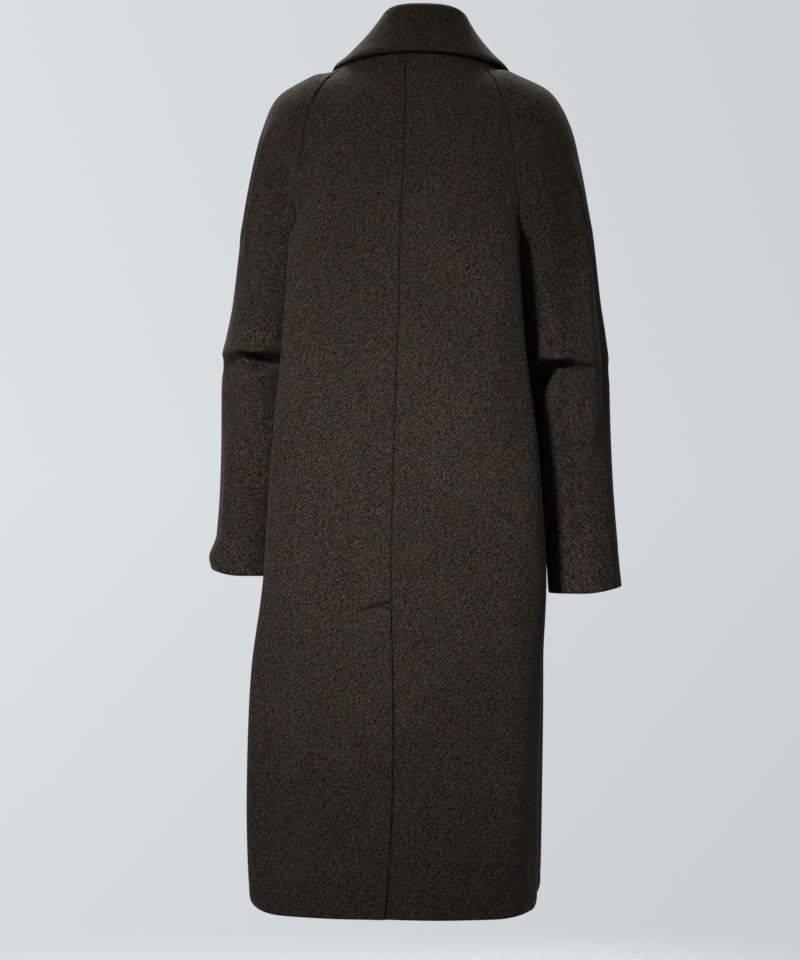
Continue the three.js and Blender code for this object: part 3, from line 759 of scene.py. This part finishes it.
# The vent, which opens a little towards the hem, and the hems.
VENT_START_ROWS = 0.12
VENT_SLIT = 2.8
VENT_OPENING = 4.0
VENT_OPENING_REACH = 20
LAP_SWELL = 1.0
LAP_SWELL_REACH = 26.0
UNDER_LAP_DROP = 2.8
UNDER_LAP_REACH = 30.0
VENT_STITCH_RUN = 48.0
VENT_STITCH_DROP = 14.0
VENT_STITCH_BELOW = 4.0
VENT_STITCH_DEPTH = 5.0
HEM_TURN_UP = 38.0
CUFF_TURN_UP = 50.0
HEM_CURL = 6.0
HEM_CURL_LENGTH = 26.0
HEM_MIDDLE_X = 22.0


def even_rows(surface, side, us, v_end, count, closer=None):
    """Rows that are evenly spaced down the cloth. closer is a row near which they are closer together,
    the share of them that is gathered there, and how far from it."""
    rough_v = np.linspace(0, v_end, 400)
    u, v = grid(us[::6], rough_v)
    along = lengths(surface(side, u, v), 0).mean(axis=1)
    along = along / along[-1]
    if closer:
        near, share, reach = closer
        along = along + share * np.tanh((rough_v - near) / reach)
        along = (along - along[0]) / (along[-1] - along[0])
    return np.interp(close_at_ends(count, ROW_CLOSENESS), along, rough_v)


def lay_out(surface, side, us, vs):
    """A piece's rows, places and the way each faces, then how far each place is from the first
    column, the last column, the top and the bottom."""
    u, v = grid(us, vs)
    points = surface(side, u, v)
    way = facing(points, from_middle(points))
    across = lengths(points, 1)
    down = lengths(points, 0)
    return v, points, way, across, across[:, -1:] - across, down, down[-1:] - down


def tuck_under(points, way, v, edge, inner, share):
    """Lets an edge run on under the next piece as a seam allowance, by a share at each row."""
    outward = points[:, edge] - points[:, inner]
    outward /= np.linalg.norm(outward, axis=-1, keepdims=True)
    away = from_underarm(v[:, :1])
    drop = ALLOWANCE_DROP * away - UNDERARM_PRESS * (1 - away)
    points[:, edge] += (outward * ALLOWANCE - way[:, edge] * drop) * share[:, None]


def make_back(side):
    us = close_at_ends(BACK_COLUMNS, BACK_CLOSENESS)
    closer = (VENT_TOP_ROW + 0.02, VENT_ROW_SHARE, VENT_ROW_REACH)
    vs = even_rows(back_point, side, us, HEM, BODY_ROWS, closer)
    v, points, way, across, rest, down, up = lay_out(back_point, side, us, vs)
    is_vent = np.clip((v - VENT_TOP_ROW) / VENT_START_ROWS, 0, 1)
    dip = seam_dip(across, MIDDLE_SEAM_DEPTH, MIDDLE_SEAM_WIDTH)
    middle_seam = dip * (1 - is_vent) + edge_roll(across) * is_vent
    relief = middle_seam + seam_dip(rest) * from_underarm(v) + hem_mark(up, HEM_TURN_UP)
    relief += cloth_waves(across, down, 20 + side) * np.minimum(1, np.minimum(across, rest) / 30)
    if side == LEFT:
        relief += vent_stitch_mark(across, down, v)
        relief += LAP_SWELL * is_vent * np.exp(-((across / LAP_SWELL_REACH) ** 2))
    else:
        relief -= UNDER_LAP_DROP * is_vent * np.exp(-((across / UNDER_LAP_REACH) ** 2))
    points = points + way * relief[..., None]
    opened = np.clip((v - VENT_TOP_ROW) / (HEM - VENT_TOP_ROW), 0, 1) ** 2
    gape = (VENT_SLIT * is_vent + VENT_OPENING * opened) * np.exp(-across / VENT_OPENING_REACH)
    points[..., 0] += side * gape
    points[:, 0, 0] -= side * SEAM_OVERLAP * (1 - is_vent[:, 0])
    tuck_under(points, way, v, -1, -2, UNDERARM_SHARE * (1 - from_underarm(v[:, 0])))
    points = hem_curl(points, up)
    word = SIDE_WORD[side]
    uv = cloth_uv(across, down[:, :1], side)
    piece = cloth_piece(f"{word}_back_cloth", points, way, uv, WALL, f"back_{word}", back_cloth)
    return points, way, across, down, v


def vent_stitch_mark(across, down, v):
    """The slanted line of stitches that holds the vent's top, pulled into the cloth."""
    top = np.interp(VENT_TOP_ROW - 0.05, v[:, 0], down[:, 0])
    t = np.clip(across / VENT_STITCH_RUN, 0, 1)
    off = down - (top + VENT_STITCH_BELOW + VENT_STITCH_DROP * t)
    ends = np.clip((VENT_STITCH_RUN + 4 - across) / 8, 0, 1)
    groove = -VENT_STITCH_DEPTH * np.exp(-np.abs(off) / 1.7)
    return ends * (groove + 1.6 * np.exp(-(((off + 6) / 4.0) ** 2)))


def hem_curl(points, up):
    """The hem turned in a little at the coat's sides, where its lower corners are round."""
    aside = points[..., 0] - HEM_MIDDLE_X
    share = np.clip((np.abs(aside) - 150) / 50, 0, 1) ** 2 * np.clip(1 - up / HEM_CURL_LENGTH, 0, 1) ** 2
    curled = points.copy()
    curled[..., 0] -= np.sign(aside) * HEM_CURL * share
    curled[..., 2] += HEM_CURL * share
    return curled


def make_front(side):
    us = close_at_ends(FRONT_COLUMNS, FRONT_CLOSENESS)
    vs = even_rows(front_point, side, us, HEM, BODY_ROWS)
    v, points, way, across, rest, down, up = lay_out(front_point, side, us, vs)
    relief = seam_dip(across) * from_underarm(v) + edge_roll(rest) + hem_mark(up, HEM_TURN_UP)
    relief += 0.7 * cloth_waves(across, down, 40 + side) * np.minimum(1, np.minimum(across, rest) / 40)
    points = hem_curl(points + way * relief[..., None], up)
    near = UNDERARM_SHARE * (1 - from_underarm(v[:, 0]))
    tuck_under(points, way, v, 0, 1, np.maximum(near, np.clip((v[:, 0] - UNDERARM - 0.2) / 0.5, 0, 1)))
    word = SIDE_WORD[side]
    uv = cloth_uv(-across, down[:, len(us) // 2][:, None], side)
    piece = cloth_piece(f"{word}_front_cloth", points, way, uv, WALL, f"front_{word}", front_cloth)


def make_sleeve(side):
    us = close_at_ends(SLEEVE_COLUMNS, SLEEVE_CLOSENESS)
    closer = (ELBOW - 0.08, CREASE_ROW_SHARE, CREASE_ROW_REACH)
    vs = even_rows(sleeve_point, side, us, CUFF, SLEEVE_ROWS, closer)
    v, points, way, across, rest, down, up = lay_out(sleeve_point, side, us, vs)
    from_seam = np.minimum(across, rest)
    raglan = np.clip((UNDERARM - v) / 0.4, 0, 1)
    ridge = 0.5 * np.exp(-(((from_seam - 4.5) / 3.2) ** 2))
    stitch = -0.6 * np.exp(-(((from_seam - TOPSTITCH_OFF) / 1.5) ** 2))
    dip = seam_dip(from_seam) * from_underarm(v)
    relief = dip + raglan * (ridge + stitch) + hem_mark(up, CUFF_TURN_UP)
    relief += 0.8 * cloth_waves(across, down, 60 + side) * np.minimum(1, from_seam / 25)
    points = points + way * relief[..., None]
    for edge, inner in ((0, 1), (-1, -2)):
        tuck_under(points, way, v, edge, inner, np.clip((UNDERARM + 0.5 - v[:, 0]) / 0.5, 0, 1))
    word = SIDE_WORD[side]
    middle = across[:, len(us) // 2][:, None]
    uv = cloth_uv(across - middle, down[:, len(us) // 2][:, None], side)
    material = left_sleeve_cloth if side == LEFT else right_sleeve_cloth
    piece = cloth_piece(f"{word}_sleeve_cloth", points, way, uv, WALL, f"sleeve_{word}", material)
    return points, way, across, v


# The collar. NECK_BACK and NECK_SLEEVE are how far along the neck seam the back and the sleeve end.
NECK_BACK = 0.38
NECK_SLEEVE = 0.79
COLLAR_HALF_COLUMNS = 60
COLLAR_STAND_ROWS = 10
COLLAR_TURN_ROWS = 10
COLLAR_FALL_ROWS = 30
COLLAR_TURN = 150
COLLAR_BOW = 1.5


def neck_point(side, s):
    """The neck seam on one side, from the centre back (0) to the front end (1)."""
    top = np.zeros_like(s)
    back = back_point(side, np.clip(s / NECK_BACK, 0, 1), top)
    sleeve = sleeve_point(side, np.clip((s - NECK_BACK) / (NECK_SLEEVE - NECK_BACK), 0, 1), top)
    front = front_point(side, np.clip((s - NECK_SLEEVE) / (1 - NECK_SLEEVE), 0, 1), top)
    on_front = np.where((s < NECK_SLEEVE)[..., None], sleeve, front)
    return np.where((s < NECK_BACK)[..., None], back, on_front)


def make_collar():
    """Up from the neck seam, over the fold and down to the outer edge, all round the neck."""
    half = close_at_ends(COLLAR_HALF_COLUMNS, 0.3)
    stations = np.concatenate([-half[:0:-1], half])
    columns = []
    for s in stations:
        side = RIGHT if s < 0 else LEFT
        row = collar_station(abs(s) * COLLAR_STATIONS)
        fold = place(row["foldLean"] + side * row["foldX"], row["foldY"], row["foldZ"])
        edge = place(row["edgeLean"] + side * row["edgeX"], row["edgeY"], row["edgeZ"])
        out = (edge - fold) * [1, 1, 0]
        out /= np.linalg.norm(out)
        up = np.array([0, 0, 1.0])
        radius = row["bend"]
        centre = fold - up * radius
        base = neck_point(side, np.array([abs(s)]))[0] + up * COLLAR_GAP - out * WALL
        angles = np.radians(np.linspace(0, COLLAR_TURN, COLLAR_TURN_ROWS + 1))[:, None]
        around = centre - out * radius * np.cos(angles) + up * radius * np.sin(angles)
        rising = base + (around[0] - base) * np.linspace(0, 1, COLLAR_STAND_ROWS + 1)[:-1, None]
        rising[0] -= up * COLLAR_TUCK
        fall_t = close_at_ends(COLLAR_FALL_ROWS, 0.5)[1:, None]
        falling = around[-1] + (edge - around[-1]) * fall_t
        bow = np.sin(math.pi * fall_t) * -COLLAR_BOW
        falling = falling + (out + up * 0.6) * bow
        columns.append(np.vstack([rising, around, falling]))
    points = np.stack(columns, axis=1)
    way = facing(points, points - place(-12, -60, 20))
    across = lengths(points, 1)
    down = lengths(points, 0)
    rest = across[:, -1:] - across
    to_edge = down[-1:] - down
    relief = edge_roll(to_edge, 1.4, 2.2) + edge_roll(np.minimum(across, rest), 1.0, 2.0)
    relief += 0.4 * np.exp(-(((to_edge - 9) / 5.0) ** 2))
    relief += 0.5 * cloth_waves(across, down * 2, 90)
    points = points + way * relief[..., None]
    middle = across[:, len(stations) // 2][:, None]
    uv = cloth_uv(middle - across, down, RIGHT)
    piece = cloth_piece("collar_cloth", points, way, uv, COLLAR_WALL, "collar", collar_cloth)


def make_lapel(side):
    """The cloth turned back along the front edge, made from the front's own places moved out."""
    across_share, down_share = grid(close_at_ends(40, 0.6), np.linspace(0, 1, 181))
    top = LAPEL_TOP_ROW + LAPEL_TOP_DROP * across_share
    v = top + (LAPEL_BREAK_ROW - top) * down_share
    ones = np.ones_like(v)
    start = front_point(side, ones * FRONT_FOLD_SHARE, v)
    length = np.linalg.norm(front_point(side, ones, v) - start, axis=-1) / (1 - FRONT_FOLD_SHARE)
    width = LAPEL_WIDTH + (LAPEL_END_WIDTH - LAPEL_WIDTH) * down_share**1.4
    u = 1 - across_share * width / length
    points = front_point(side, u, v)
    way = facing(points, from_middle(points))
    lift = LAPEL_GAP + LAPEL_WALL + LAPEL_LIFT * np.sin(math.pi * across_share)
    points = points + way * lift[..., None]
    across = lengths(points, 1)
    down = lengths(points, 0)
    rest = across[:, -1:] - across
    relief = edge_roll(rest, 1.2, 2.0) + edge_roll(across, 0.8, 1.6) + edge_roll(down, 1.0, 1.8)
    points = points + way * relief[..., None]
    word = SIDE_WORD[side]
    uv = cloth_uv(across, down[:, :1], side)
    name = f"{word}_lapel_cloth"
    piece = cloth_piece(name, points, way, uv, LAPEL_WALL, f"lapel_{word}", lapel_cloth)


def make_underlap():
    """The strip sewn to the right back below the vent's top, which lies under the left back."""
    offsets = np.linspace(-UNDERLAP_MARGIN, UNDERLAP_WIDTH, UNDERLAP_COLUMNS)
    vs = np.linspace(VENT_TOP_ROW, HEM, UNDERLAP_ROWS)
    columns = []
    for offset in offsets:
        side = RIGHT if offset < 0 else LEFT
        middle = back_point(side, np.zeros_like(vs), vs)
        quarter = back_point(side, np.full_like(vs, BACK_FOLD_SHARE / 4), vs)
        length = np.linalg.norm(quarter - middle, axis=-1) * 4
        columns.append(back_point(side, abs(offset) * BACK_FOLD_SHARE / length, vs))
    points = np.stack(columns, axis=1)
    way = facing(points, from_middle(points))
    points = points - way * (WALL + UNDERLAP_GAP)
    across = lengths(points, 1)
    down = lengths(points, 0)
    uv = cloth_uv(across, down, LEFT)
    name = "vent_underlap_cloth"
    piece = cloth_piece(name, points, way, uv, WALL, "back_vent_underlap", back_cloth)


back_grids = {side: make_back(side) for side in (LEFT, RIGHT)}
make_front(LEFT)
make_front(RIGHT)
sleeve_grids = {side: make_sleeve(side) for side in (LEFT, RIGHT)}
make_collar()
make_lapel(LEFT)
make_lapel(RIGHT)
make_underlap()


# Stitches, each a short rounded dash lying in the cloth.
STITCH_LENGTH = 3.4
STITCH_STEP = 4.6
STITCH_RADIUS = 0.34


def stitch_line(name, path, way):
    """A row of stitches along a path of places in millimetres, which sit half sunk in the cloth."""
    along = np.concatenate([[0], np.cumsum(np.linalg.norm(np.diff(path, axis=0), axis=-1))])
    dashes = bmesh.new()
    for at in np.arange(STITCH_STEP, along[-1] - STITCH_STEP, STITCH_STEP):
        start = Vector(np.array([np.interp(at, along, path[:, axis]) for axis in range(3)]))
        end = Vector(np.array([np.interp(at + STITCH_LENGTH, along, path[:, axis]) for axis in range(3)]))
        out = Vector(np.array([np.interp(at, along, way[:, axis]) for axis in range(3)])).normalized()
        heading = (end - start).normalized()
        turn = heading.to_track_quat("X", "Z").to_matrix().to_4x4()
        middle = (start + end) / 2 + out * STITCH_RADIUS * 0.4
        made = bmesh.ops.create_uvsphere(dashes, u_segments=8, v_segments=5, radius=1)
        size = (STITCH_LENGTH / 2, STITCH_RADIUS, STITCH_RADIUS)
        bmesh.ops.scale(dashes, vec=size, verts=made["verts"])
        bmesh.ops.transform(dashes, matrix=turn, verts=made["verts"])
        bmesh.ops.translate(dashes, vec=middle, verts=made["verts"])
    bmesh.ops.scale(dashes, vec=(MM, MM, MM), verts=dashes.verts)
    for face in dashes.faces:
        face.smooth = True
    piece = to_object(name, dashes, seam_thread)
    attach(piece, "root")


def raglan_stitches(side):
    """Topstitching on the sleeve, beside both raglan seams."""
    points, way, across, v = sleeve_grids[side]
    word = SIDE_WORD[side]
    for end, across_from in (("back", across), ("front", across[:, -1:] - across)):
        rows = [row for row in range(len(v)) if v[row, 0] < UNDERARM - 0.9]
        columns = [int(np.argmin(np.abs(across_from[row] - TOPSTITCH_OFF))) for row in rows]
        path = np.array([points[row, column] for row, column in zip(rows, columns)])
        outward = np.array([way[row, column] for row, column in zip(rows, columns)])
        stitch_line(f"{word}_{end}_raglan_stitches", path, outward)


def on_grid(values, across, down, at_across, at_down):
    """A grid's value at a measured place on the cloth, between its rows and columns."""
    row = int(np.searchsorted(down[:, 0], at_down)) - 1
    column = int(np.searchsorted(across[row], at_across)) - 1
    down_share = (at_down - down[row, column]) / (down[row + 1, column] - down[row, column])
    across_share = (at_across - across[row, column]) / (across[row, column + 1] - across[row, column])
    upper = values[row, column] + (values[row, column + 1] - values[row, column]) * across_share
    lower = values[row + 1, column] + (values[row + 1, column + 1] - values[row + 1, column]) * across_share
    return upper + (lower - upper) * down_share


def vent_stitches():
    """The stitches that hold the vent's top, slanting away from the centre-back seam."""
    points, way, across, down, v = back_grids[LEFT]
    top = np.interp(VENT_TOP_ROW - 0.05, v[:, 0], down[:, 0])
    shares = np.linspace(0.02, 1.0, 40)
    places = [(VENT_STITCH_RUN * t, top + VENT_STITCH_BELOW + VENT_STITCH_DROP * t) for t in shares]
    path = np.array([on_grid(points, across, down, *place) for place in places])
    outward = np.array([on_grid(way, across, down, *place) for place in places])
    stitch_line("vent_stitches", path, outward)


raglan_stitches(LEFT)
raglan_stitches(RIGHT)
vent_stitches()


# The floor, the light and the camera.

def make_floor():
    """A plain pale floor that fades into the backdrop's colour far off."""
    disc = bmesh.new()
    bmesh.ops.create_circle(disc, cap_ends=True, segments=96, radius=FLOOR_FADE[1])
    bmesh.ops.translate(disc, vec=(0, 0, FLOOR_HEIGHT), verts=disc.verts)
    material, tree, shader, add = new_material("pale floor")
    shader.inputs["Base Color"].default_value = (*FLOOR_COLOUR, 1)
    shader.inputs["Roughness"].default_value = 0.9
    flat = add("ShaderNodeMapping", Vector=add("ShaderNodeTexCoord").outputs["Object"])
    flat.inputs["Scale"].default_value = (1, 1, 0)
    reach = add("ShaderNodeVectorMath", {"operation": "LENGTH"})
    tree.links.new(flat.outputs["Vector"], reach.inputs[0])
    fade = map_range(add, reach.outputs["Value"], *FLOOR_FADE, 1.0, 0.0, "SMOOTHSTEP")
    tree.links.new(fade, shader.inputs["Alpha"])
    to_object("floor", disc, material)


# How bright the surround is at each height of the eye's line, from straight down (-1) to straight up
# (1), and its colours towards the wearer's right and left, with how far to each side they are reached.
SURROUND_SHADES = [(-0.9, 0.80), (-0.15, 0.93), (0.0, 1.0), (0.15, 0.97), (0.4, 0.62), (0.9, 0.30)]
SURROUND_RIGHT = (0.610, 0.640, 0.665)
SURROUND_LEFT = (0.735, 0.765, 0.785)
SURROUND_REACH = (-0.02, 0.28)


def make_backdrop():
    """An even pale surround, a little darker towards the wearer's right, and dim overhead."""
    world = bpy.data.worlds.new("pale surround")
    bpy.context.scene.world = world
    tree, add = empty_tree(world)
    seat = add("ShaderNodeTexCoord").outputs["Generated"]
    split = add("ShaderNodeSeparateXYZ", Vector=seat)
    ramp = add("ShaderNodeMapRange", {"data_type": "FLOAT_VECTOR"}, Vector=split.outputs["X"])
    from_min, from_max, to_min, to_max = ramp.inputs[7:11]
    from_min.default_value = (SURROUND_REACH[0],) * 3
    from_max.default_value = (SURROUND_REACH[1],) * 3
    to_min.default_value = SURROUND_RIGHT
    to_max.default_value = SURROUND_LEFT
    shades = add("ShaderNodeValToRGB", Fac=map_range(add, split.outputs["Z"], -1, 1, 0, 1))
    stops = shades.color_ramp.elements
    for position, shade in SURROUND_SHADES:
        stop = stops.new((position + 1) / 2)
        stop.color = (shade, shade, shade, 1)
    stops.remove(stops[0])
    stops.remove(stops[len(stops) - 1])
    product = add("ShaderNodeVectorMath", {"operation": "MULTIPLY"})
    tree.links.new(ramp.outputs["Vector"], product.inputs[0])
    tree.links.new(shades.outputs["Color"], product.inputs[1])
    surround = add("ShaderNodeBackground", Color=product.outputs["Vector"])
    add("ShaderNodeOutputWorld", Surface=surround.outputs["Background"])


def soft_light(name, where, at, size, power, spread=180):
    data = bpy.data.lights.new(name, "AREA")
    data.shape = "DISK"
    data.size = size
    data.energy = power
    data.spread = math.radians(spread)
    light = bpy.data.objects.new(name, data)
    light.location = where
    light.rotation_euler = (Vector(at) - Vector(where)).to_track_quat("-Z", "Y").to_euler()
    bpy.context.collection.objects.link(light)


def make_camera():
    turn = math.radians(CAMERA_TURN)
    to_right = Vector((-math.cos(turn), -math.sin(turn), 0))
    to_camera = Vector((-math.sin(turn), math.cos(turn), 0))
    data = bpy.data.cameras.new("camera")
    data.sensor_width = SENSOR
    data.lens = SENSOR * CAMERA_DISTANCE / PICTURE_HEIGHT
    camera = bpy.data.objects.new("camera", data)
    camera.location = to_camera * CAMERA_DISTANCE - to_right * CAMERA_ASIDE + Vector((0, 0, CAMERA_HEIGHT))
    camera.rotation_euler = (-to_camera).to_track_quat("-Z", "Y").to_euler()
    bpy.context.collection.objects.link(camera)
    bpy.context.scene.camera = camera


make_floor()
make_backdrop()
soft_light("key light", where=(1.2, 3.1, 0.9), at=(0.02, 0, -0.64), size=0.9, power=6.8, spread=20)
soft_light("fill light", where=(-2.6, 2.5, 0.3), at=(0, 0, -0.6), size=2.4, power=7)
soft_light("top light", where=(0.4, -1.1, 2.3), at=(0, -0.05, -0.2), size=1.6, power=300)
make_camera()
bpy.context.scene.view_settings.view_transform = "Standard"
